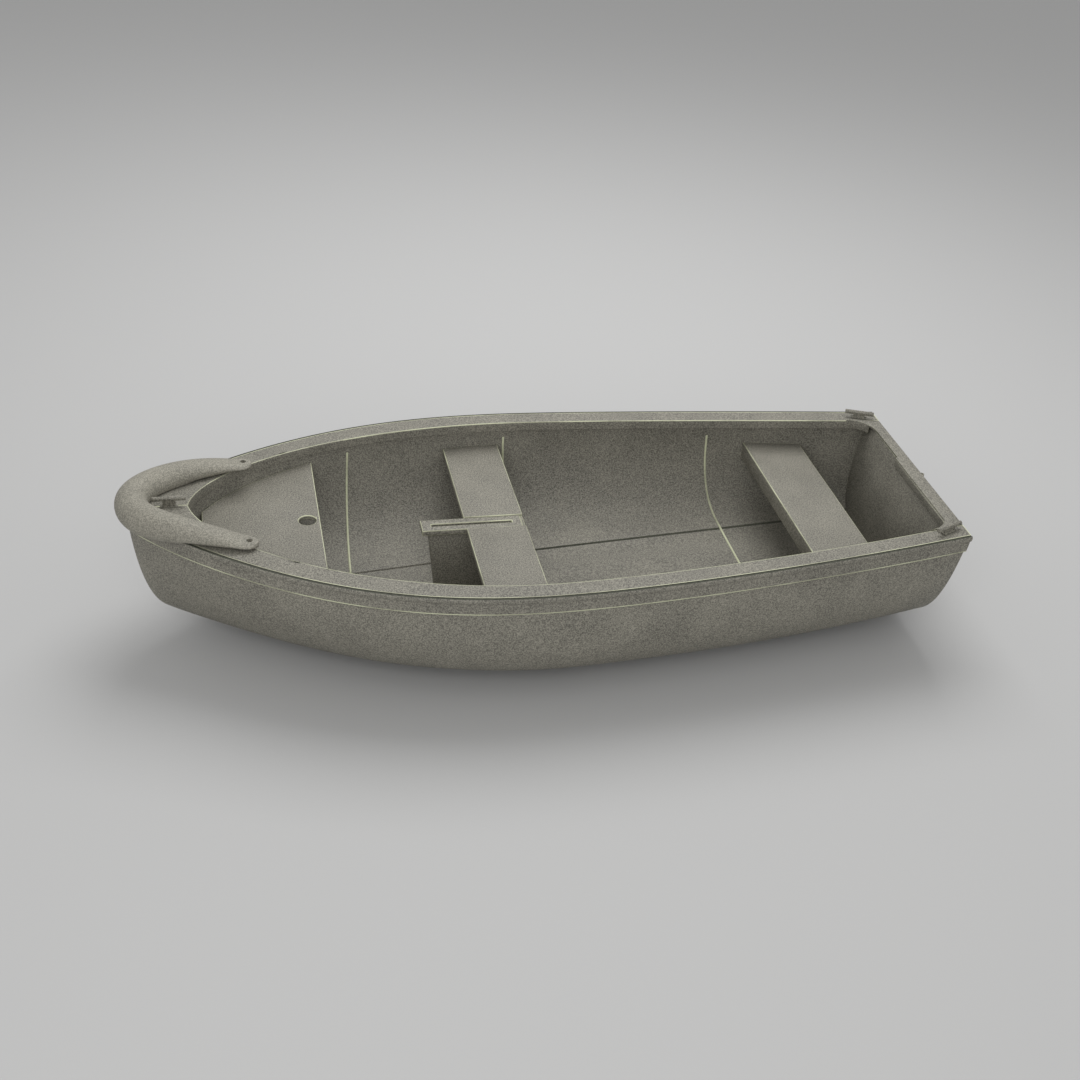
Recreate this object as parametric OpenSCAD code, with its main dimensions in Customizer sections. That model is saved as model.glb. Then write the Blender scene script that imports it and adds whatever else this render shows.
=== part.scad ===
// Sailing dinghy: a round-bilged open tender moulded in two skins, an outer hull and an
// inner liner, joined by a gunwale moulding. It has a bow fender, two thwarts, a bow seat
// with its mast hole, a centreboard case, cleats and rudder gudgeons.
// X runs forward, Y to port and Z up. The origin is on the ground, at the middle of the length.

/* [Hull] */
// Length of the gunwale from the transom to the stem head
hull_length = 2805; // [2400:5:3400]
// Half of the greatest beam, measured at the hull's own side
half_beam = 594; // [480:1:720]
// Half of the beam at the transom
stern_half_beam = 438; // [360:1:560]
// Place of the greatest beam along the hull, as a share of its length
beam_place = 0.524; // [0.45:0.01:0.6]
// Height of the gunwale amidships above the ground
mid_sheer = 462; // [400:1:560]
// Height of the gunwale at the transom
stern_sheer = 486; // [410:1:580]
// Height of the gunwale at the stem head
bow_sheer = 500; // [430:1:620]
// Thickness of the moulded skins
skin = 5; // [4:0.5:8]
// Height of the hull's centreline above the ground amidships
keel_clearance = 14; // [10:1:30]
// Rise of the centreline at the transom
stern_rise = 46; // [10:1:90]
// Rise of the centreline at the forefoot
bow_rise = 75; // [10:1:90]
// Rake of the transom, top to bottom
transom_rake = 63; // [20:1:110]
// Overhang of the stem head beyond the forefoot
stem_overhang = 190; // [120:1:300]
// Half width of the hull's bottom panel
bottom_half = 200; // [140:1:260]
// Rise of the bottom panel from the centreline to its edge
bottom_dead_rise = 9; // [4:1:16]

/* [Liner] */
// Height of the inside floor's centreline above the ground amidships
floor_height = 106; // [90:1:150]
// Rise of the floor at the transom
floor_stern_rise = 0; // [0:1:80]
// Rise of the floor at the bow
floor_bow_rise = 30; // [0:1:80]
// Half width of the floor at the transom; it tapers to the bow
floor_half = 300; // [240:1:340]
// Rise of the floor from the centreline to its crease
floor_dead_rise = 14; // [4:1:30]
// Step down from the bilge to the floor at the crease
floor_step = 6; // [2:0.5:8]

/* [Gunwale] */
// Width of the gunwale's flat top, inboard of the hull side
flange_width = 65; // [45:1:90]
// Thickness of the gunwale's top
flange_thick = 8; // [6:0.5:10]
// Depth of the inner lip
lip_depth = 34; // [24:1:50]
// Depth of the outer skirt
skirt_depth = 62; // [30:1:70]
// Wall of the lip and of the skirt
moulding_wall = 5; // [4:0.5:8]
// Length of the small foredeck from the stem head to the inner rim
foredeck_length = 200; // [140:1:260]
// Radius of the rub rail's bead
rub_radius = 6; // [4:0.5:10]
// Fore-and-aft width of the stern capping
stern_cap_width = 40; // [32:1:60]
// Radius of the capping's inside corners
stern_corner = 100; // [40:1:130]

/* [Seats] */
// Height of the centre thwart's top face above the ground
thwart_height = 368; // [330:1:400]
// Fore-and-aft width of the centre thwart
thwart_width = 210; // [160:1:260]
// Thickness of the seats' planks
thwart_thick = 22; // [16:1:30]
// Place of the centre thwart's aft edge, forward of the transom
centre_thwart_x = 1465; // [1300:5:1600]
// Drop of the aft thwart below the centre thwart
aft_thwart_drop = 0; // [0:1:50]
// Place of the aft thwart's aft edge, forward of the transom
aft_thwart_x = 288; // [240:2:420]
// Fore-and-aft width of the aft thwart
aft_thwart_width = 220; // [160:1:260]
// Depth of the aft thwart's front face
aft_thwart_face = 62; // [40:1:90]
// Place of the bow seat's straight aft edge, forward of the transom
bow_seat_x = 2174; // [2050:1:2250]
// Height of the bow seat's top above the centre thwart
bow_seat_step = 46; // [20:1:54]
// Thickness of the bow seat
bow_seat_thick = 14; // [10:1:20]

/* [Mast] */
// Diameter of the mast hole in the bow seat
mast_hole_d = 60; // [45:1:80]
// Distance of the mast hole's centre from the bow seat's aft edge
mast_setback = 42; // [40:1:90]
// Diameter of the mast step's socket
mast_step_d = 60; // [40:1:70]

/* [Centreboard] */
// Length of the slot for the board
slot_length = 284; // [240:1:320]
// Width of the slot for the board
slot_width = 14; // [10:1:24]
// Thickness of the case's cheeks
cheek_thick = 12; // [8:1:16]
// Width of the cap on the case
cap_width = 70; // [56:1:90]
// Thickness of the cap
cap_thick = 20; // [14:1:22]
// Rake of the case's front post
case_rake = 38; // [0:1:60]

/* [Fittings] */
// Radius of the fender at the stem
fender_radius = 56; // [40:1:64]
// Diameter of the eyes through the fender's ends
fender_eye_d = 20; // [10:1:20]
// Length of the cleats' bars
cleat_length = 108; // [80:1:130]
// Bore of the rudder gudgeons
gudgeon_bore_d = 10; // [8:0.5:12]
// Distance from the upper to the lower gudgeon
gudgeon_spacing = 220; // [140:1:260]

/* [Hidden] */

colour_hull = "#72706a";
colour_trim = "#8c8a80";
colour_fender = "#98978c";

// clearance between pieces that are bonded or screwed together, and round an inset piece
bond_gap = 0.5;
wall_gap = 1;

// ---- Small helpers ----
function mix(a, b, f) = a + (b - a) * f;
function flip(p) = [p[0], -p[1], p[2]];
function unit(v) = v / norm(v);
function cubic(a, b, c, d, f) =
    a * pow(1 - f, 3) + 3 * b * f * pow(1 - f, 2) + 3 * c * f * f * (1 - f) + d * pow(f, 3);

// ---- Lines of the boat, for a share s of its length from the transom to the stem ----
function aft_part(s) = max(beam_place - s, 0) / beam_place;
function fore_part(s) = max(s - beam_place, 0) / (1 - beam_place);

// the bow in plan: sides that draw in to a blunt nose
bow_bluntness = 0.07;
function bow_shape(f) = (1 - bow_bluntness) * (1 - pow(f, 2.3)) + bow_bluntness * sqrt(1 - pow(f, 12));
function half_beam_at(s) = s < beam_place
    ? half_beam - (half_beam - stern_half_beam) * pow(aft_part(s), 1.5)
    : half_beam * bow_shape(fore_part(s));
function sheer_at(s) = mid_sheer + (stern_sheer - mid_sheer) * pow(aft_part(s), 2)
    + (bow_sheer - mid_sheer) * pow(fore_part(s), 2);

// a line along the bottom: level along its middle, rising to both ends
flat_aft = 0.34;
flat_fore = 0.66;
function bottom_line(s, level, aft_rise, fore_rise) = level
    + aft_rise * pow(max(flat_aft - s, 0) / flat_aft, 2)
    + fore_rise * pow(max(s - flat_fore, 0) / (1 - flat_fore), 2);

// the inner rim: set in by the flange, with a rounder bow than the hull
rim_length = hull_length - foredeck_length;
rim_half = half_beam - flange_width;
function rim_x(s) = s < beam_place ? hull_length * s
    : mix(hull_length * beam_place, rim_length, fore_part(s));
function rim_y(s) = s < beam_place ? half_beam_at(s) - flange_width
    : rim_half * pow(1 - pow(fore_part(s), 2), 0.63);

// ---- Grids of the two moulded surfaces ----
// rows run from the transom to the stem, columns from the gunwale down to the centreline
rows = 30;
side_columns = 12;
// along the bottom panel, shares of the way from its crease to the centreline
panel_shares = [0, 0.022, 0.5, 1];
columns = side_columns + len(panel_shares) - 1;
last_row = 2 * rows;
// rows lie closer together towards the blunt bow
row_crowding = 1.6;
function share(i) = 1 - pow(1 - i / rows, row_crowding);

// one cross section: a rounded side from the top to the crease, a small step down, then
// the bottom panel
function section_point(top, foot, step, centre, side_depth, side_width, turn_width, bow, j) =
    let (
        side = [mix(mix(top[0], foot[0], side_depth), mix(top[0], foot[0], 0.12), bow),
            top[1] * side_width, mix(top[2], foot[2], side_depth)],
        turn = [mix(foot[0], mix(top[0], foot[0], 0.45), bow),
            max(foot[1], top[1] * turn_width), foot[2]]
    )
    j <= side_columns
        ? cubic(top, side, turn, foot, j / side_columns)
        : mix(foot - [0, 0, step], centre, panel_shares[j - side_columns]);

// at the stem each crease runs out this far ahead of the centreline's end
forefoot_lead = 60;
function bilge_fullness(s) = 1.02 - 0.14 * aft_part(s) - 0.55 * pow(fore_part(s), 1.3);
function keel_z(s) = bottom_line(s, keel_clearance, stern_rise, bow_rise);
function hull_point(s, j) =
    let (
        bow = pow(s, 6),
        keel_x = hull_length * s + transom_rake * pow(1 - s, 4) - stem_overhang * bow,
        top = [hull_length * s, half_beam_at(s), sheer_at(s) - flange_thick],
        foot = [keel_x + forefoot_lead * bow, bottom_half * (1 - pow(s, 4)), keel_z(s) + bottom_dead_rise],
        centre = [keel_x, 0, keel_z(s)]
    )
    section_point(top, foot, 0, centre, 0.62, 1, bilge_fullness(s), bow, j);

liner_start = 33;
liner_out = moulding_wall + 1;
function liner_share(s) = s < beam_place ? mix(liner_start / hull_length, beam_place, s / beam_place) : s;
function floor_z(s) = bottom_line(s, floor_height, floor_stern_rise, floor_bow_rise);
function liner_point(s, j) =
    let (
        bow = pow(s, 6),
        t = liner_share(s),
        rim = by_rim(t, liner_out, -flange_thick),
        depth_share = (rim[2] - floor_z(s)) / (sheer_at(0) - keel_z(0)),
        keel_x = rim[0] + transom_rake * depth_share * pow(1 - s, 4) - 150 * bow,
        foot = [keel_x + forefoot_lead * bow, floor_half * (1 - 0.8 * s - 0.2 * pow(s, 4)), floor_z(s) + floor_dead_rise],
        centre = [keel_x, 0, floor_z(s)]
    )
    section_point(rim, foot, floor_step * (1 - bow), centre,
        mix(0.8, 0.43, s * s), mix(1.12, 0.97, s), mix(0.84, 0.6, pow(s, 3)), bow, j);

// the hull's and the rim's edges in plan, and points beside them (outwards, up)
edge_step = 0.002;
function outer_edge(s) = [hull_length * s, half_beam_at(s)];
function inner_edge(s) = [rim_x(s), rim_y(s)];
function outward(a, b) = let (d = b - a) [-d[1], d[0]] / norm(d);
function outer_normal(s) = s >= 1 ? [1, 0]
    : outward(outer_edge(max(s - edge_step, 0)), outer_edge(min(s + edge_step, 1)));
function inner_normal(s) = s >= 1 ? [1, 0]
    : outward(inner_edge(max(s - edge_step, 0)), inner_edge(min(s + edge_step, 1)));
function beside(p, s, up) = [p[0], max(p[1], 0), sheer_at(s) + up];
function by_hull(s, out, up) = beside(outer_edge(s) + outer_normal(s) * out, s, up);
function by_rim(s, out, up) = beside(inner_edge(s) + inner_normal(s) * out, s, up);

hull_half = [for (i = [0 : rows]) [for (j = [0 : columns]) hull_point(share(i), j)]];
liner_half = [for (i = [0 : rows]) [for (j = [0 : columns]) liner_point(share(i), j)]];

// a whole surface from its port half: t runs from the port quarter round the stem to starboard
function surface_point(half, t, j) = j > columns
    ? flip(surface_point(half, t, 2 * columns - j))
    : t > rows ? flip(half[last_row - t][j]) : half[t][j];
function forefoot_normal(half) = let (d = half[rows][columns - 1] - half[rows - 1][columns])
    unit([d[2], 0, -d[0]]);
function surface_normal(half, t, j) = t == rows && j == columns ? forefoot_normal(half) : unit(cross(
    surface_point(half, min(t + 1, last_row), j) - surface_point(half, max(t - 1, 0), j),
    surface_point(half, t, j + 1) - surface_point(half, t, max(j - 1, 0))));
function offset_point(half, t, j, depth) =
    let (p = half[t][j] - surface_normal(half, t, j) * depth)
    j == columns || t == rows ? [p[0], 0, p[2]] : p;
function offset_half(half, depth) =
    [for (i = [0 : rows]) [for (j = [0 : columns]) offset_point(half, i, j, depth)]];
hull_inside = offset_half(hull_half, skin);
liner_outside = offset_half(liner_half, -skin);

// half breadth of a half surface where it crosses height z, as a table against the length
function crossing(row, z) =
    let (hits = [for (j = [0 : columns - 1])
        if (row[j][2] >= z && row[j + 1][2] < z)
            mix(row[j], row[j + 1], (row[j][2] - z) / (row[j][2] - row[j + 1][2]))])
    len(hits) > 0 ? hits[0] : [row[columns][0], 0, z];
function breadth_table(half, z) = [for (row = half) let (p = crossing(row, z)) [p[0], p[1]]];

// the row of a half surface at share s, between two grid rows
function row_at(half, s) =
    let (place = rows * (1 - pow(1 - s, 1 / row_crowding)), low = min(floor(place), rows - 1))
    [for (j = [0 : columns]) mix(half[low][j], half[low + 1][j], place - low)];

// ---- Placing and skinning ----
gudgeon_reach = 26;
fender_overhang = 37;
length_overall = hull_length + fender_overhang + gudgeon_reach;
to_origin = gudgeon_reach - length_overall / 2;
module placed() translate([to_origin, 0, 0]) children();

// closed solid through rings of points, all with the same count, with flat end faces
module skinned(rings) {
    count = len(rings[0]);
    last = len(rings) - 1;
    points = [for (ring = rings) each ring];
    sides = [for (i = [0 : last - 1]) for (j = [0 : count - 1])
        let (a = i * count + j, b = i * count + (j + 1) % count)
            each [[a, b, b + count], [a, b + count, a + count]]];
    start_face = [for (j = [count - 1 : -1 : 0]) j];
    end_face = [for (j = [0 : count - 1]) last * count + j];
    polyhedron(points, concat(sides, [start_face], [end_face]), convexity = 8);
}

// moulded sheet between two half surfaces, mirrored into one solid that is open at the stern
module moulded_sheet(outside_half, inside_half) {
    width = columns + 1;
    sheet = (last_row + 1) * width;
    function at(t, j) = (j == columns && t > rows ? last_row - t : t) * width + j;
    function whole(half) = [for (t = [0 : last_row]) for (j = [0 : columns])
        t > rows ? flip(half[last_row - t][j]) : half[t][j]];
    outside = [for (t = [0 : last_row - 1]) for (j = [0 : columns - 1])
        each [[at(t, j), at(t + 1, j), at(t + 1, j + 1)], [at(t, j), at(t + 1, j + 1), at(t, j + 1)]]];
    inside = [for (f = outside) [f[2] + sheet, f[1] + sheet, f[0] + sheet]];
    rim = [for (t = [0 : last_row - 1]) let (a = at(t, 0), b = at(t + 1, 0))
        each [[a, a + sheet, b + sheet], [a, b + sheet, b]]];
    stern = [for (j = [0 : columns - 1], t = [0, last_row])
        let (a = at(t, t == 0 ? j : j + 1), b = at(t, t == 0 ? j + 1 : j))
            each [[a, b, b + sheet], [a, b + sheet, a + sheet]]];
    polyhedron(concat(whole(outside_half), whole(inside_half)),
        concat(outside, inside, rim, stern), convexity = 10);
}

// ---- Centreboard case: its places are used by the skins and by the centre thwart ----
board_slot_x = centre_thwart_x + 44;
case_aft = board_slot_x - cheek_thick;
case_length = slot_length + 2 * cheek_thick;
case_half = slot_width / 2 + cheek_thick;
cap_rise = -3;
cap_aft = board_slot_x - 33;
cap_length = slot_length + 33 + 36;
cap_bottom = thwart_height + cap_rise - cap_thick;
module board_slot(height) {
    translate([board_slot_x, -slot_width / 2, -1]) cube([slot_length, slot_width, height + 1]);
}
module case_block(gap, low, high) {
    fore = case_aft + case_length;
    function post_x(z) = fore - case_rake * (cap_bottom - z) / (cap_bottom - keel_clearance);
    rotate([90, 0, 0]) translate([0, 0, -case_half - gap]) linear_extrude(2 * (case_half + gap))
        polygon([[case_aft - gap, low], [post_x(low) + gap, low], [post_x(high) + gap, high],
            [case_aft - gap, high]]);
}
case_foot = keel_clearance + skin + bond_gap;
module centreboard_case() color(colour_hull) placed() difference() {
    case_block(0, case_foot, cap_bottom);
    intersection() {
        board_slot(thwart_height + cap_rise);
        translate([-cheek_thick, 0, 0]) case_block(0, 0, thwart_height + cap_rise);
    }
}
module case_cap() color(colour_trim) placed() difference() {
    translate([cap_aft, -cap_width / 2, cap_bottom]) cube([cap_length, cap_width, cap_thick]);
    board_slot(thwart_height + cap_rise + 1);
}

// ---- Hull and liner ----
module hull_shell() color(colour_hull) placed() difference() {
    moulded_sheet(hull_half, hull_inside);
    intersection() {
        board_slot(keel_clearance + 40);
        translate([-cheek_thick, 0, 0]) case_block(0, 0, cap_bottom);
    }
}
module inner_liner() color(colour_hull) placed() difference() {
    moulded_sheet(liner_outside, liner_half);
    case_block(wall_gap, 0, floor_height + 40);
}

// ---- Transoms: flat raked panels across the stern, one closing each skin ----
stern_drop = sheer_at(0) - keel_z(0) - flange_thick;
rake_slope = transom_rake / stern_drop;
function on_rake(z) = (sheer_at(0) - flange_thick - z) * rake_slope;
// a panel with the outline of a half surface's first row, as thick as given along X
module raked_panel(row, gap, x, thick) {
    low = row[columns][2] + gap;
    port = [for (i = [0 : columns - 1]) [row[i][1] - gap, max(row[i][2], low)]];
    ring = concat(port, [[0, low]], [for (i = [columns - 1 : -1 : 0]) [-port[i][0], port[i][1]]]);
    multmatrix([[0, -rake_slope, 1, x + on_rake(0)], [1, 0, 0, 0], [0, 1, 0, 0], [0, 0, 0, 1]])
        linear_extrude(thick) polygon(ring);
}
// the transom's outer face, at its top
transom_x = 5;
transom_thick = 12;
inner_transom_thick = 6;
module transom() color(colour_hull) placed() difference() {
    raked_panel(hull_inside[0], bond_gap, transom_x, transom_thick);
    drain_bore();
}
module inner_transom() color(colour_hull) placed()
    raked_panel(liner_half[0], bond_gap, liner_start, inner_transom_thick);

// drain plug: a flanged disc low in the transom
drain_z = keel_z(0) + 52;
drain_d = 22;
drain_flange_d = 44;
drain_fit_gap = 0.3;
module at_drain(out) {
    translate([transom_x + on_rake(drain_z) + out, 0, drain_z]) rotate([0, 90 + atan(rake_slope), 0]) children();
}
module drain_bore() at_drain(0) translate([0, 0, -20]) cylinder(d = drain_d, h = 50, $fn = 48);
module drain_plug() color(colour_trim) placed() {
    at_drain(0) translate([0, 0, -6.2]) cylinder(d = drain_flange_d, h = 6, $fn = 48);
    at_drain(0) translate([0, 0, -2]) cylinder(d = drain_d - 2 * drain_fit_gap, h = 12, $fn = 48);
}

// ---- Gunwale moulding: flat top, inner lip, groove and outer skirt ----
groove_depth = 3;
groove_start = 2;
rim_round = 4;
skirt_out = 9;
// the moulding's aft end leans with the transom
function lean(s, ring) = [for (p = ring) p + [max(on_rake(p[2]), 0) * max(0, 1 - s / 0.05), 0, 0]];
function gunwale_ring(s) = lean(s, [
    by_rim(s, 0, -lip_depth), by_rim(s, 0, -rim_round),
    by_rim(s, rim_round * 0.3, -rim_round * 0.3), by_rim(s, rim_round, 0),
    by_hull(s, groove_start, 0), by_hull(s, groove_start, -groove_depth),
    by_hull(s, skirt_out, -groove_depth), by_hull(s, skirt_out, -skirt_depth),
    by_hull(s, skirt_out - moulding_wall, -skirt_depth),
    by_hull(s, skirt_out - moulding_wall, -flange_thick),
    by_rim(s, moulding_wall, -flange_thick), by_rim(s, moulding_wall, -lip_depth)]);
module gunwale_half() skinned([for (i = [0 : rows]) gunwale_ring(share(i))]);
module gunwale_port() color(colour_trim) placed() gunwale_half();
module gunwale_starboard() color(colour_trim) placed() mirror([0, 1, 0]) gunwale_half();

// rub rail: a rounded bead on the shoulder outside the groove
rub_half_height = 11;
rub_centre = skirt_out - 0.5;
function rub_ring(s) = lean(s, concat(
    [by_hull(s, skirt_out, -groove_depth), by_hull(s, skirt_out, -2 * rub_half_height)],
    [for (a = [-80 : 20 : 120])
        by_hull(s, rub_centre + rub_radius * cos(a), rub_half_height * (sin(a) - 1))],
    [by_hull(s, skirt_out - 4, -groove_depth)]));
module rub_rail_half() skinned([for (i = [0 : rows]) rub_ring(share(i))]);
module rub_rail_port() color(colour_trim) placed() rub_rail_half();
module rub_rail_starboard() color(colour_trim) placed() mirror([0, 1, 0]) rub_rail_half();

// stern capping: a flat band across the transoms' tops, with rounded inside corners and a
// lip down its inner edge; a recess starboard of the centreline takes a motor's clamp
recess_depth = 10;
recess_y = -95;
function rim_at(x) = rim_y(x / hull_length) - bond_gap;
corner_x = stern_cap_width + stern_corner;
// the corner's arc meets the rim at this angle, which follows the rim's slope there
stern_slope = atan(1.5 * (half_beam - stern_half_beam) / (beam_place * hull_length));
touch_angle = 90 + 7.5 * round(stern_slope / 7.5);
touch_x = corner_x + stern_corner * cos(touch_angle);
corner_y = rim_at(touch_x) - stern_corner * sin(touch_angle);
// the port inside corner, as an arc moved aft and outboard by set_back
function corner_arc(set_back, first_angle, last_angle) = [for (a = [first_angle : -7.5 : last_angle])
    [corner_x, corner_y] + (stern_corner + set_back) * [cos(a), sin(a)]];
function not_aft_of(x, points) = [for (p = points) [max(p[0], x), p[1]]];
module stern_capping() color(colour_trim) placed() {
    edge = stern_cap_width + recess_depth;
    port = concat([[edge, recess_y]], not_aft_of(edge, corner_arc(0, 180, touch_angle)));
    starboard = [for (p = corner_arc(0, 180, touch_angle)) [p[0], -p[1]]];
    side = [for (i = [3 : -1 : 0]) [touch_x * i / 4, rim_at(touch_x * i / 4)]];
    outline = concat(port, side, [for (i = [3 : -1 : 0]) [side[i][0], -side[i][1]]],
        [for (i = [len(starboard) - 1 : -1 : 0]) starboard[i]],
        [[stern_cap_width, recess_y]]);
    translate([0, 0, sheer_at(0) - flange_thick]) linear_extrude(flange_thick) polygon(outline);
    port_lip = concat([[edge, recess_y]], not_aft_of(edge, corner_arc(0, 150, 105)));
    port_back = concat([[edge - moulding_wall, recess_y]],
        not_aft_of(edge - moulding_wall, corner_arc(moulding_wall, 150, 105)));
    lip(port_lip, port_back);
    mirror([0, 1, 0]) lip(corner_arc(0, 150, 105), corner_arc(moulding_wall, 150, 105));
}
module lip(front, back) {
    translate([0, 0, sheer_at(0) - lip_depth]) linear_extrude(lip_depth - flange_thick)
        polygon(concat(front, [for (i = [len(back) - 1 : -1 : 0]) back[i]]));
}

// ---- Seats ----
// outline of a plank across the liner, no wider than the liner at height z
function plank_outline(x0, x1, z) =
    let (table = breadth_table(liner_half, z), steps = 8)
    concat([for (i = [0 : steps]) let (x = mix(x0, x1, i / steps)) [x, lookup(x, table) - wall_gap]],
        [for (i = [steps : -1 : 0]) let (x = mix(x0, x1, i / steps)) [x, wall_gap - lookup(x, table)]]);
module plank(x0, x1, top, thick) {
    translate([0, 0, top - thick]) linear_extrude(thick) polygon(plank_outline(x0, x1, top - thick));
}

// the thwart's aft edge is cut down this far behind the cap
notch_depth = 8;
module centre_thwart() color(colour_trim) placed() difference() {
    plank(centre_thwart_x, centre_thwart_x + thwart_width, thwart_height, thwart_thick);
    translate([cap_aft - bond_gap, -cap_width / 2 - bond_gap, cap_bottom])
        cube([thwart_width, cap_width + 2 * bond_gap, thwart_thick + 1]);
    translate([centre_thwart_x - 1, -cap_width / 2 - bond_gap, thwart_height - notch_depth])
        cube([cap_aft - centre_thwart_x + 1, cap_width + 2 * bond_gap, notch_depth + 1]);
    case_block(bond_gap, 0, thwart_height);
}

aft_face_thick = 20;
module aft_thwart() color(colour_trim) placed() {
    fore = aft_thwart_x + aft_thwart_width;
    top = thwart_height - aft_thwart_drop;
    plank(aft_thwart_x, fore, top, thwart_thick);
    translate([0, 0, top - aft_thwart_face]) linear_extrude(aft_thwart_face - thwart_thick)
        polygon(plank_outline(fore - aft_face_thick, fore, top - aft_thwart_face));
}

bow_seat_top = thwart_height + bow_seat_step;
mast_x = bow_seat_x + mast_setback;
function seat_nose() = rim_length - 40;
module bow_seat() color(colour_trim) placed() difference() {
    plank(bow_seat_x, seat_nose(), bow_seat_top, bow_seat_thick);
    translate([mast_x, 0, bow_seat_top - bow_seat_thick - 1])
        cylinder(d = mast_hole_d, h = bow_seat_thick + 2, $fn = 96);
}

// mast step: a round socket on the floor under the mast hole
step_wall = 18;
step_height = 70;
step_base = 14;
module mast_step() color(colour_trim) placed() {
    z = floor_z(mast_x / rim_length) + floor_dead_rise + bond_gap;
    translate([mast_x, 0, z]) difference() {
        cylinder(d = mast_step_d + 2 * step_wall, h = step_height, $fn = 96);
        translate([0, 0, step_base]) cylinder(d = mast_step_d, h = step_height, $fn = 96);
    }
}

// ---- Ribs: thin half-round strips across the inside ----
rib_half_width = 4;
rib_height = 4;
rib_gap = 0.3;
rib_top_column = 1;
// a column of the liner where it crosses the fore-and-aft place x
function column_at(j, x) = [x, lookup(x, [for (row = liner_half) [row[j][0], row[j][1]]]),
    lookup(x, [for (row = liner_half) [row[j][0], row[j][2]]])];
module rib(top_x, foot_x) {
    row = [for (j = [0 : columns]) column_at(j, mix(top_x, foot_x, j / columns))];
    function along(j) = row[min(j + 1, columns)] - row[j - 1];
    function lift(j) = j == columns ? [0, 0, 1] : let (d = along(j)) unit([0, d[2], -d[1]]);
    port = [for (j = [rib_top_column : columns]) [for (a = [0 : 30 : 180])
        row[j] + lift(j) * (rib_gap + rib_height * sin(a)) + [rib_half_width * cos(a), 0, 0]]];
    skinned(concat(port, [for (k = [len(port) - 2 : -1 : 0]) [for (p = port[k]) flip(p)]]));
}
module rib_fore() color(colour_trim) placed() rib(2037, 2070);
module rib_mid() color(colour_trim) placed() rib(1442, 1440);
module rib_aft() color(colour_trim) placed() rib(655, 628);

// ---- Bow fender: a tapered horseshoe that wraps the gunwale's edge at the stem ----
fender_gap = 8.5;
fender_sides = 16;
// places of its rings, from the rounded end (0) to the stem (1)
fender_places = concat([0.003, 0.012, 0.028, 0.05, 0.08], [for (i = [2 : 15]) i / 15]);
// its ends lie flat on the gunwale, with an eye through each
fender_end = [hull_length - 418, 256];
end_half_height = 11;
end_half_width = 40;
fender_eye_x = hull_length - 389;
fender_eye_y = 250;
fender_eye_z = sheer_at(fender_eye_x / hull_length) + fender_gap;
// at the stem its middle stands this high above the gunwale
fender_lift = 15;
fender_nose = hull_length + fender_overhang - fender_radius;
// the fender's centre line, from its port end (k = 0) to the stem (k = 1)
function fender_line(k) = [
    cubic(fender_end[0], fender_end[0] + 190, fender_nose, fender_nose, k),
    cubic(fender_end[1], fender_end[1] - 40, 130, 0, k)];
function fender_ring(k) =
    let (
        taper = sin(90 * max(0, min(1, (k - 0.08) / 0.75))),
        rounding = sqrt(1 - pow(max(0, 1 - k / 0.08), 2)),
        high = mix(end_half_height, fender_radius, taper),
        wide = mix(end_half_width, fender_radius, taper) * rounding,
        n = k >= 1 ? [1, 0] : outward(fender_line(max(k - 0.01, 0)), fender_line(min(k + 0.01, 1))),
        p = fender_line(k),
        z = sheer_at(min(p[0] / hull_length, 1)) + mix(fender_gap + high - 1, fender_lift, taper)
    )
    [for (i = [0 : fender_sides - 1]) let (a = 360 * i / fender_sides)
        [p[0] + n[0] * wide * cos(a), p[1] + n[1] * wide * cos(a), z + high * sin(a)]];
// the space that the gunwale and its rub rail take out of the fender
module gunwale_space() {
    out = rub_centre + rub_radius + fender_gap;
    port = [for (i = [rows * 0.6 : rows]) let (s = share(i), p = by_hull(s, out, fender_gap))
        [p, [p[0], p[1], 0], [p[0], -p[1], 0], flip(p)]];
    skinned(port);
}
module bow_fender() color(colour_fender) placed() difference() {
    port = [for (k = fender_places) fender_ring(k)];
    skinned(concat(port, [for (i = [len(port) - 2 : -1 : 0]) [for (p = port[i]) flip(p)]]));
    gunwale_space();
    for (side = [1, -1]) translate([fender_eye_x, side * fender_eye_y, fender_eye_z - 20])
        cylinder(d = fender_eye_d, h = 90, $fn = 48);
}

// ---- Cleats ----
bar_radius = 8;
foot_length = 42;
foot_width = 12;
pad_thick = 4;
module cleat(stand) {
    translate([0, 0, pad_thick / 2]) cube([foot_length + 16, foot_width + 12, pad_thick], center = true);
    translate([0, 0, pad_thick + stand / 2]) cube([foot_length, foot_width, stand], center = true);
    translate([0, 0, pad_thick + stand]) rotate([0, 90, 0])
        cylinder(r = bar_radius, h = cleat_length, center = true, $fn = 32);
}
bow_cleat_x = hull_length - 140;
bow_cleat_stand = 26;
quarter_cleat_x = 70;
quarter_cleat_inset = 40;
quarter_cleat_angle = 22;
quarter_cleat_stand = 15;
module bow_cleat() color(colour_trim) placed()
    translate([bow_cleat_x, 0, sheer_at(0.985) + bond_gap]) cleat(bow_cleat_stand);
module quarter_cleat(side) {
    s = quarter_cleat_x / hull_length;
    translate([quarter_cleat_x, side * (half_beam_at(s) - quarter_cleat_inset), sheer_at(0) + bond_gap])
        rotate([0, 0, side * quarter_cleat_angle]) cleat(quarter_cleat_stand);
}
module stern_cleat_port() color(colour_trim) placed() quarter_cleat(1);
module stern_cleat_starboard() color(colour_trim) placed() quarter_cleat(-1);

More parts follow.
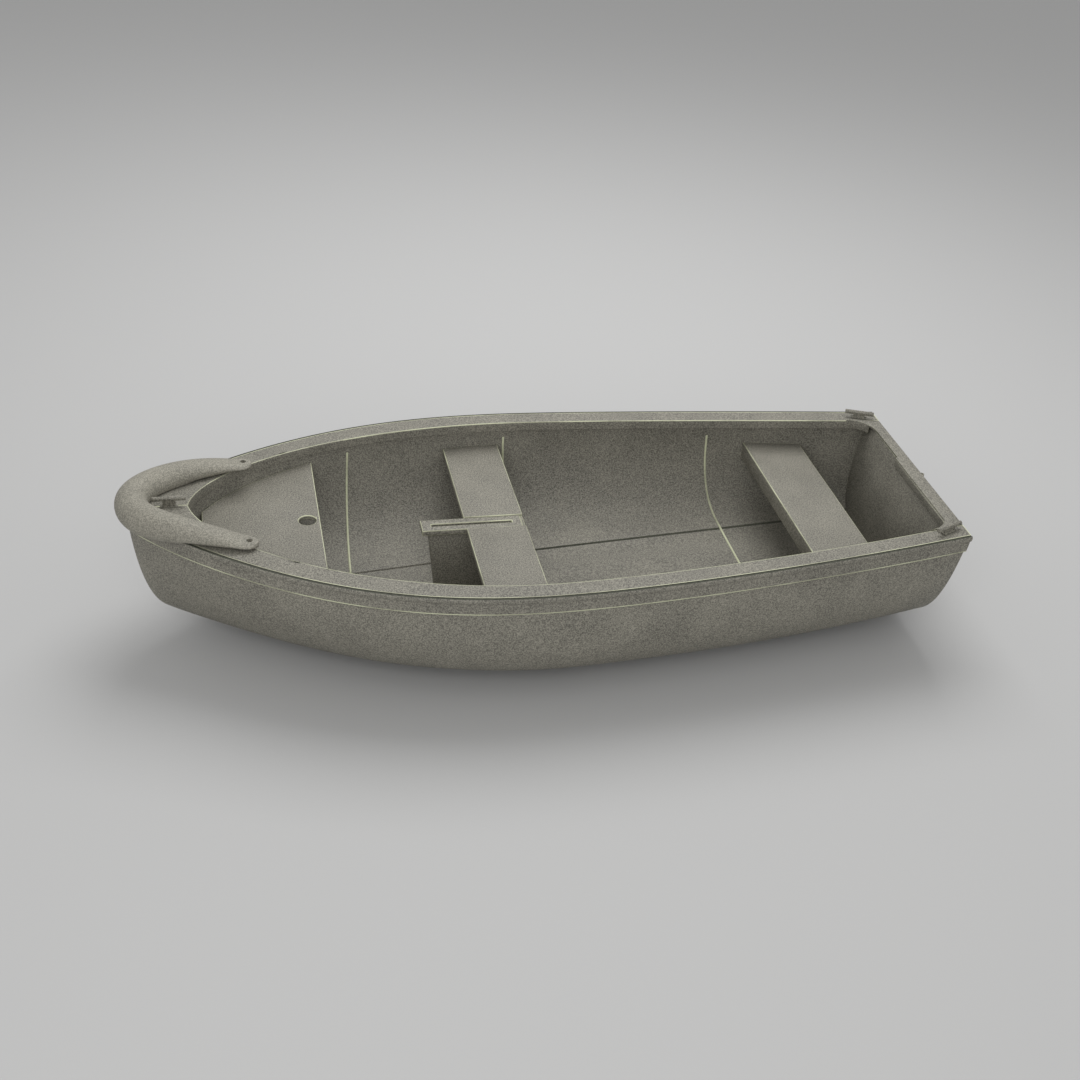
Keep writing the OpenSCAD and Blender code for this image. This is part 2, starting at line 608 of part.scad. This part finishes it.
// ---- Rudder gudgeons on the transom ----
gudgeon_wall = 4;
gudgeon_height = 14;
plate_width = 64;
plate_height = 30;
plate_thick = 14;
upper_gudgeon_z = stern_sheer - flange_thick - plate_height / 2 - 2;
module gudgeon(z) {
    eye_x = gudgeon_reach - gudgeon_bore_d / 2 - gudgeon_wall;
    face_x = transom_x + on_rake(z + plate_height / 2) - bond_gap;
    translate([-eye_x, 0, z - gudgeon_height / 2]) difference() {
        union() {
            cylinder(d = gudgeon_bore_d + 2 * gudgeon_wall, h = gudgeon_height, $fn = 64);
            translate([0, -5, 0]) cube([eye_x + face_x - plate_thick / 2, 10, gudgeon_height]);
            translate([eye_x + face_x - plate_thick, -plate_width / 2, (gudgeon_height - plate_height) / 2])
                cube([plate_thick, plate_width, plate_height]);
        }
        translate([0, 0, -1]) cylinder(d = gudgeon_bore_d, h = gudgeon_height + 2, $fn = 64);
    }
}
module gudgeon_upper() color(colour_trim) placed() gudgeon(upper_gudgeon_z);
module gudgeon_lower() color(colour_trim) placed() gudgeon(upper_gudgeon_z - gudgeon_spacing);

// ---- Keel strip and bilge runners: the boat stands on them ----
strip_half = 12;
runner_inset = 26;
module runner(y, height) {
    translate([hull_length * flat_aft, y - strip_half, 0])
        cube([hull_length * (flat_fore - flat_aft), 2 * strip_half, height]);
}
module keel_strip() color(colour_hull) placed() difference() {
    runner(0, keel_clearance - bond_gap);
    board_slot(keel_clearance);
}
runner_top = keel_clearance + bottom_dead_rise * (bottom_half - runner_inset - strip_half) / bottom_half;
module bilge_runner_port() color(colour_hull) placed() runner(bottom_half - runner_inset, runner_top - bond_gap);
module bilge_runner_starboard() color(colour_hull) placed() runner(runner_inset - bottom_half, runner_top - bond_gap);

hull_shell();
inner_liner();
transom();
inner_transom();
gunwale_port();
gunwale_starboard();
stern_capping();
rub_rail_port();
rub_rail_starboard();
bow_seat();
mast_step();
centre_thwart();
centreboard_case();
case_cap();
aft_thwart();
rib_fore();
rib_mid();
rib_aft();
bow_fender();
bow_cleat();
stern_cleat_port();
stern_cleat_starboard();
gudgeon_upper();
gudgeon_lower();
keel_strip();
bilge_runner_port();
bilge_runner_starboard();
drain_plug();
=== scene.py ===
"""A moulded sailing dinghy on a pale studio floor.

X runs forward, Y to port and Z up, in metres. Each visible piece starts from the frame's own
solid, is given soft edges with a painted highlight along them and a moulded finish, and rides
with the boat.
"""

import math

import bpy
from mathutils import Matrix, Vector


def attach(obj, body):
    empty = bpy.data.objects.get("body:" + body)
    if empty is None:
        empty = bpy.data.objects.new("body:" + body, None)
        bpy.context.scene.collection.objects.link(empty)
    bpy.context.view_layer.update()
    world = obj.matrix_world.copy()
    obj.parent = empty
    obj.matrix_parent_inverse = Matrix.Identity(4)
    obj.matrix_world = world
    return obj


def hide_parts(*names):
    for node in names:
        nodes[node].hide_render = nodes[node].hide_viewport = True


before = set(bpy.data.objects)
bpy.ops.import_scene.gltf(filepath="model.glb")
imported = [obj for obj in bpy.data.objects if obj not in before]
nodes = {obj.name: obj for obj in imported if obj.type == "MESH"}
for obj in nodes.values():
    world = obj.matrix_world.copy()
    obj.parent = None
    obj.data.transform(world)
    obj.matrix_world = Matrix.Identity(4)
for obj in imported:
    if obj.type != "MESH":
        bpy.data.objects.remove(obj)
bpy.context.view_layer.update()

MM = 0.001
# The sheer, in metres: the transom's place, the hull's length, the widest point's share of
# it, the gunwale's height there, and how far it rises to the stern and to the bow.
TRANSOM_X = -1.408
HULL_LENGTH = 2.805
BEAM_PLACE = 0.524
MID_SHEER = 0.462
STERN_LIFT = 0.024
BOW_LIFT = 0.038
# Material slots of every piece: the plain moulding, a painted edge highlight, and painted
# shade.
PLAIN, PALE, PAINTED_SHADE = 0, 1, 2
# Widths of the rounded edge and its painted highlight line: on the curved mouldings' edges, and
# on the flat-sided pieces'.
MOULDED_EDGE = 2.2 * MM
PLANK_EDGE = 2.8 * MM
# Lines on the gunwale: heights above its flat top, and the widths of the painted highlight
# strips.
SKIRT_TOP = -24 * MM
SKIRT_FOOT = -62 * MM
FOOT_LINE = -57.5 * MM
SKIRT_STRIP = 3.2 * MM
TOP_STRIP = 2.6 * MM


# ---- Camera ----


def place_camera():
    """Looks down on the port bow from five and a half metres away."""
    forward = Vector((-0.2050, -0.8134, -0.5444)).normalized()
    up = Vector((-0.0585, -0.5450, 0.8364))
    right = forward.cross(up).normalized()
    up = right.cross(forward)
    data = bpy.data.cameras.new("studio_camera")
    data.lens = 50
    data.sensor_width = 36
    camera = bpy.data.objects.new("studio_camera", data)
    bpy.context.scene.collection.objects.link(camera)
    turn = camera.matrix_world.to_3x3()
    turn.col[0], turn.col[1], turn.col[2] = right, up, -forward
    camera.matrix_world = turn.to_4x4()
    camera.location = (1.0837, 4.3199, 3.1688)
    bpy.context.scene.camera = camera


place_camera()


# ---- Shader maths ----


class Value:
    """A number socket that can be used in plain Python expressions."""

    def __init__(self, shader, socket):
        self.shader = shader
        self.socket = socket

    def maths(self, operation, first, second):
        node = self.shader.add("Math", {"operation": operation}, {0: first, 1: second})
        return Value(self.shader, node.outputs[0])

    def __add__(self, other):
        return self.maths("ADD", self, other)

    def __mul__(self, other):
        return self.maths("MULTIPLY", self, other)

    __radd__ = __add__
    __rmul__ = __mul__

    def clamp(self, low, high, out_low=0.0, out_high=1.0):
        """Maps low..high onto out_low..out_high, and holds it there."""
        node = self.shader.add(
            "MapRange",
            {"clamp": True},
            {0: self, 1: low, 2: high, 3: out_low, 4: out_high},
        )
        return Value(self.shader, node.outputs[0])


class Shader:
    """One material and its nodes."""

    def __init__(self, name):
        self.material = bpy.data.materials.new(name)
        self.material.use_nodes = True
        self.tree = self.material.node_tree
        self.surface = self.tree.nodes["Principled BSDF"]
        self.place = self.add("TexCoord").outputs["Object"]

    def add(self, kind, settings=None, sockets=None):
        """Adds a node, sets it up, and gives its sockets their values or links."""
        node = self.tree.nodes.new("ShaderNode" + kind)
        for key, value in (settings or {}).items():
            setattr(node, key, value)
        for key, value in (sockets or {}).items():
            self.feed(node.inputs[key], value)
        return node

    def feed(self, socket, value):
        if isinstance(value, Value):
            value = value.socket
        if isinstance(value, bpy.types.NodeSocket):
            self.tree.links.new(value, socket)
        else:
            socket.default_value = value

    def noise(self, size, detail, roughness):
        """Soft mottling with lumps of about the given size in metres."""
        node = self.add(
            "TexNoise",
            None,
            {"Vector": self.place, "Scale": 1 / size, "Detail": detail, "Roughness": roughness},
        )
        return Value(self, node.outputs["Fac"])

    def blend(self, factor, first, second):
        """Mixes two colours."""
        node = self.add("Mix", {"data_type": "RGBA"}, {0: factor, 6: first, 7: second})
        return node.outputs[2]

    def bump(self, height, distance, strength):
        node = self.add(
            "Bump", None, {"Height": height, "Distance": distance, "Strength": strength}
        )
        return node.outputs["Normal"]


OLIVE = (0.198, 0.1885, 0.1565)
GRAIN_CONTRAST = 0.6


def olive(level):
    """The moulding's colour, made lighter or darker."""
    return (*(channel * level for channel in OLIVE), 1.0)


def moulded(name, level, grain=1.0, roughness=0.62):
    """Grey-olive moulding: a sandy grain, faint cloudy staining and a matt sheen."""
    shader = Shader(name)
    fine = shader.noise(0.0046, 3.0, 0.8)
    coarse = shader.noise(0.012, 2.0, 0.6)
    broad = shader.noise(0.16, 4.0, 0.55)
    speckle = fine.clamp(0.42, 0.58) * 0.76 + coarse.clamp(0.35, 0.65) * 0.08
    light = olive(level * (1 + GRAIN_CONTRAST * grain))
    dark = olive(level * (1 - GRAIN_CONTRAST * grain))
    base = shader.blend(speckle + broad.clamp(0.35, 0.65) * 0.16, dark, light)
    surface = shader.surface
    shader.feed(surface.inputs["Base Color"], base)
    sheen = broad.clamp(0.3, 0.7, roughness - 0.06, roughness + 0.06)
    shader.feed(surface.inputs["Roughness"], sheen)
    surface.inputs["IOR"].default_value = 1.45
    shader.feed(surface.inputs["Normal"], shader.bump(fine, 0.0012 * grain, 0.7))
    return shader.material


def painted_edge_highlight(name):
    """Painted highlight: the thin pale line where light catches a moulded edge, strong here and
    faint there.
    """
    shader = Shader(name)
    fine = shader.noise(0.008, 2.0, 0.6).clamp(0.3, 0.7)
    broad = shader.noise(0.22, 2.0, 0.5).clamp(0.38, 0.52)
    highlight_strength = fine * 0.35 + broad * 0.65
    base = shader.blend(highlight_strength, (0.3, 0.3, 0.21, 1), (0.62, 0.64, 0.44, 1))
    shader.feed(shader.surface.inputs["Base Color"], base)
    shader.surface.inputs["Roughness"].default_value = 0.6
    return shader.material


def shadow_line(name):
    """Painted shade: a dark colour for the narrow grooves and steps, where shade falls."""
    shader = Shader(name)
    fine = shader.noise(0.01, 2.0, 0.6).clamp(0.3, 0.7)
    base = shader.blend(fine, (0.045, 0.047, 0.034, 1), (0.085, 0.086, 0.064, 1))
    shader.feed(shader.surface.inputs["Base Color"], base)
    shader.surface.inputs["Roughness"].default_value = 0.8
    return shader.material


hull_finish = moulded("hull_moulding", 1.06)
liner_finish = moulded("liner_moulding", 0.95)
trim_finish = moulded("gunwale_moulding", 1.0)
seat_finish = moulded("seat_moulding", 1.06)
fitting_finish = moulded("fitting_moulding", 1.0)
fender_finish = moulded("fender_rubber", 1.3, 0.7, 0.7)
# Edges get a painted highlight, and grooves and steps get painted shade.
painted_highlight = painted_edge_highlight("painted_edge_highlight")
painted_groove_shade = shadow_line("painted_groove_shade")


# ---- Modelling helpers ----


def only(piece):
    """Selects this piece alone and makes it active."""
    bpy.ops.object.select_all(action="DESELECT")
    piece.select_set(True)
    bpy.context.view_layer.objects.active = piece


def apply_modifier(piece, kind, **settings):
    """Adds a modifier, sets it and applies it."""
    only(piece)
    modifier = piece.modifiers.new(kind.lower(), kind)
    for key, value in settings.items():
        setattr(modifier, key, value)
    bpy.ops.object.modifier_apply(modifier=modifier.name)


def merged_copy(name, node):
    """A new piece made of a copy of this solid, with its doubled points merged."""
    piece = bpy.data.objects.new(name, nodes[node].data.copy())
    bpy.context.scene.collection.objects.link(piece)
    piece.data.name = name
    piece.data.materials.clear()
    only(piece)
    bpy.ops.object.mode_set(mode="EDIT")
    bpy.ops.mesh.select_all(action="SELECT")
    bpy.ops.mesh.remove_doubles(threshold=0.02 * MM)
    bpy.ops.mesh.tris_convert_to_quads(
        face_threshold=math.radians(20), shape_threshold=math.radians(60)
    )
    bpy.ops.object.mode_set(mode="OBJECT")
    return piece


def crease_sharp(piece, degrees):
    """Keeps edges sharper than this when the piece is subdivided."""
    only(piece)
    bpy.ops.object.mode_set(mode="EDIT")
    bpy.ops.mesh.select_mode(type="EDGE")
    bpy.ops.mesh.select_all(action="DESELECT")
    bpy.ops.mesh.edges_select_sharp(sharpness=math.radians(degrees))
    bpy.ops.transform.edge_crease(value=1.0)
    bpy.ops.object.mode_set(mode="OBJECT")


def all_plain(piece):
    """One finish all over."""
    for face in piece.data.polygons:
        face.material_index = PLAIN


def finish(piece, node, material, edge, angle, paint):
    """Rounds the edges, paints a highlight line along them, and sets the piece on the boat."""
    for layer in (material, painted_highlight, painted_groove_shade):
        piece.data.materials.append(layer)
    paint(piece)
    if edge:
        apply_modifier(
            piece,
            "BEVEL",
            width=edge,
            segments=2,
            limit_method="ANGLE",
            angle_limit=math.radians(angle),
            material=PALE,
        )
    only(piece)
    bpy.ops.object.shade_smooth_by_angle(angle=math.radians(angle))
    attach(piece, "root")
    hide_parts(node)


def smooth_solid(
    name, node, material, crease=32, edge=MOULDED_EDGE, angle=35, paint=all_plain
):
    """A curved moulding: its facets are smoothed away, and its real edges stay."""
    piece = merged_copy(name, node)
    crease_sharp(piece, crease)
    apply_modifier(piece, "SUBSURF", levels=1, render_levels=1)
    finish(piece, node, material, edge, angle, paint)


def plain_solid(name, node, material):
    """A flat-sided moulding with soft edges."""
    finish(merged_copy(name, node), node, material, PLANK_EDGE, 35, all_plain)


# ---- Where the lines run ----


def sheer(x):
    """Height of the gunwale's flat top."""
    place = (x - TRANSOM_X) / HULL_LENGTH
    if place < BEAM_PLACE:
        return MID_SHEER + STERN_LIFT * ((BEAM_PLACE - place) / BEAM_PLACE) ** 2
    return MID_SHEER + BOW_LIFT * ((place - BEAM_PLACE) / (1 - BEAM_PLACE)) ** 2


def above_sheer(point):
    return point.z - sheer(point.x)


def inset_faces(piece, width, test):
    """Leaves a strip of this width round the faces whose centre and normal pass the test."""
    only(piece)
    bpy.ops.object.mode_set(mode="EDIT")
    bpy.ops.mesh.select_mode(type="FACE")
    bpy.ops.mesh.select_all(action="DESELECT")
    bpy.ops.object.mode_set(mode="OBJECT")
    for face in piece.data.polygons:
        face.select = test(face.center, face.normal)
    bpy.ops.object.mode_set(mode="EDIT")
    bpy.ops.mesh.inset(thickness=width, use_boundary=True, use_even_offset=True)
    bpy.ops.object.mode_set(mode="OBJECT")


def on_skirt(centre, normal):
    """The skirt's outer face, below the rubbing bead."""
    outward = (normal.y * centre.y > 0 or normal.x > 0.7) and normal.x > -0.7
    at_the_side_or_bow = abs(centre.y) > 0.38 or centre.x > 0.9
    upright = abs(normal.z) < 0.35
    on_the_face = SKIRT_FOOT < above_sheer(centre) < SKIRT_TOP
    return upright and outward and at_the_side_or_bow and on_the_face


def on_top(centre, normal):
    """The gunwale's flat top."""
    return normal.z > 0.97 and above_sheer(centre) > -1 * MM


def faces_inboard(face):
    return face.normal.y * face.center.y < 0 or face.normal.x < -0.4


def line_gunwale(piece):
    """Painted highlight lines on the flat's edges, the inner rim and the skirt's foot, and
    painted shade in the groove.
    """
    inset_faces(piece, SKIRT_STRIP, on_skirt)
    inset_faces(piece, TOP_STRIP, on_top)
    for face in piece.data.polygons:
        height = above_sheer(face.center)
        inboard = faces_inboard(face)
        level_or_upright = face.normal.z > 0.9 or abs(face.normal.z) < 0.3
        inner_rim = face.normal.z > 0.15 and -6 * MM < height < 0.5 * MM and inboard
        in_groove = -5 * MM < height < -1 * MM and level_or_upright and not inboard
        if on_top(face.center, face.normal):
            face.material_index = PLAIN if face.select else PALE
        elif inner_rim:
            face.material_index = PALE
        elif in_groove:
            face.material_index = PAINTED_SHADE
        else:
            face.material_index = PALE if height < FOOT_LINE else PLAIN


def line_rail(piece):
    """Painted shade on the rail's top and inner half, beside the groove."""
    for face in piece.data.polygons:
        height = above_sheer(face.center)
        top = height > -3.5 * MM and face.normal.z > 0.72
        in_painted_shade = top or (faces_inboard(face) and height > -6 * MM)
        face.material_index = PAINTED_SHADE if in_painted_shade else PLAIN


def line_liner(piece):
    """Painted shade: a dark line down the small step at each side of the floor."""
    for face in piece.data.polygons:
        points = [piece.data.vertices[index].co for index in face.vertices]
        longest = max((a - b).length for a, b in zip(points, points[1:] + points[:1]))
        low = face.center.z < 0.2 and 0.04 < abs(face.center.y) < 0.32
        narrow = face.area < 12 * MM * longest
        step = low and narrow and 0.5 < face.normal.z < 0.93
        face.material_index = PAINTED_SHADE if step else PLAIN


# ---- Pieces ----

smooth_solid("hull_skin", "hull_shell", hull_finish)
smooth_solid(
    "liner",
    "inner_liner",
    liner_finish,
    crease=20,
    edge=2.5 * MM,
    angle=24,
    paint=line_liner,
)
for side in ("port", "starboard"):
    for name, node, lines in (
        ("gunwale_moulding_", "gunwale_", line_gunwale),
        ("rubbing_bead_", "rub_rail_", line_rail),
    ):
        smooth_solid(name + side, node + side, trim_finish, edge=0, paint=lines)
for material, slot, names in (
    (hull_finish, "hull", ("transom",)),
    (liner_finish, "liner", ("inner_transom",)),
    (trim_finish, "trim", ("stern_capping",)),
    (seat_finish, "seats", ("bow_seat", "mast_step", "centre_thwart")),
    (hull_finish, "hull", ("centreboard_case",)),
    (seat_finish, "seats", ("case_cap", "aft_thwart")),
    (fitting_finish, "fittings", ("bow_cleat", "stern_cleat_port", "stern_cleat_starboard")),
    (fitting_finish, "fittings", ("gudgeon_upper", "gudgeon_lower")),
    (hull_finish, "hull", ("keel_strip", "bilge_runner_port", "bilge_runner_starboard")),
    (fitting_finish, "fittings", ("drain_plug",)),
):
    for node in names:
        plain_solid(node + "_piece", node, material)
# The ribs are coloured all over with the painted edge highlight.
for rib in ("rib_fore", "rib_mid", "rib_aft"):
    smooth_solid(rib + "_piece", rib, painted_highlight, edge=0)
smooth_solid("fender", "bow_fender", fender_finish, crease=50)


# ---- Floor and light ----

FLOOR_COLOUR = (0.49, 0.49, 0.487, 1)
AIR_STRENGTH = 0.56


def studio_floor():
    """A plain pale floor, 80 m wide; its edge shows only in low views."""
    bpy.ops.object.select_all(action="DESELECT")
    bpy.ops.mesh.primitive_plane_add(size=80, location=(0, 0, 0))
    floor = bpy.context.object
    floor.name = "studio_floor"
    shader = Shader("studio_floor")
    shader.surface.inputs["Base Color"].default_value = FLOOR_COLOUR
    shader.surface.inputs["Roughness"].default_value = 0.9
    floor.data.materials.append(shader.material)


def studio_air():
    """Even light from all round."""
    world = bpy.data.worlds.new("studio_air")
    world.use_nodes = True
    background = world.node_tree.nodes["Background"]
    background.inputs["Color"].default_value = (1.0, 1.0, 1.0, 1)
    background.inputs["Strength"].default_value = AIR_STRENGTH
    bpy.context.scene.world = world


def soft_light(name, place, target, size, power):
    """A wide square lamp, in metres and watts, turned to its target."""
    data = bpy.data.lights.new(name, "AREA")
    data.shape = "SQUARE"
    data.size = size
    data.energy = power
    lamp = bpy.data.objects.new(name, data)
    bpy.context.scene.collection.objects.link(lamp)
    lamp.location = place
    aim = Vector(target) - Vector(place)
    lamp.rotation_euler = aim.to_track_quat("-Z", "Y").to_euler()


studio_floor()
studio_air()
soft_light("key_light", (-0.8, -2.4, 5.4), (0, 0.2, 0.2), 4.0, 205)
soft_light("fill_light", (2.0, 6.0, 3.6), (0, 0.6, 0.2), 5.0, 150)
bpy.context.scene.view_settings.view_transform = "Standard"
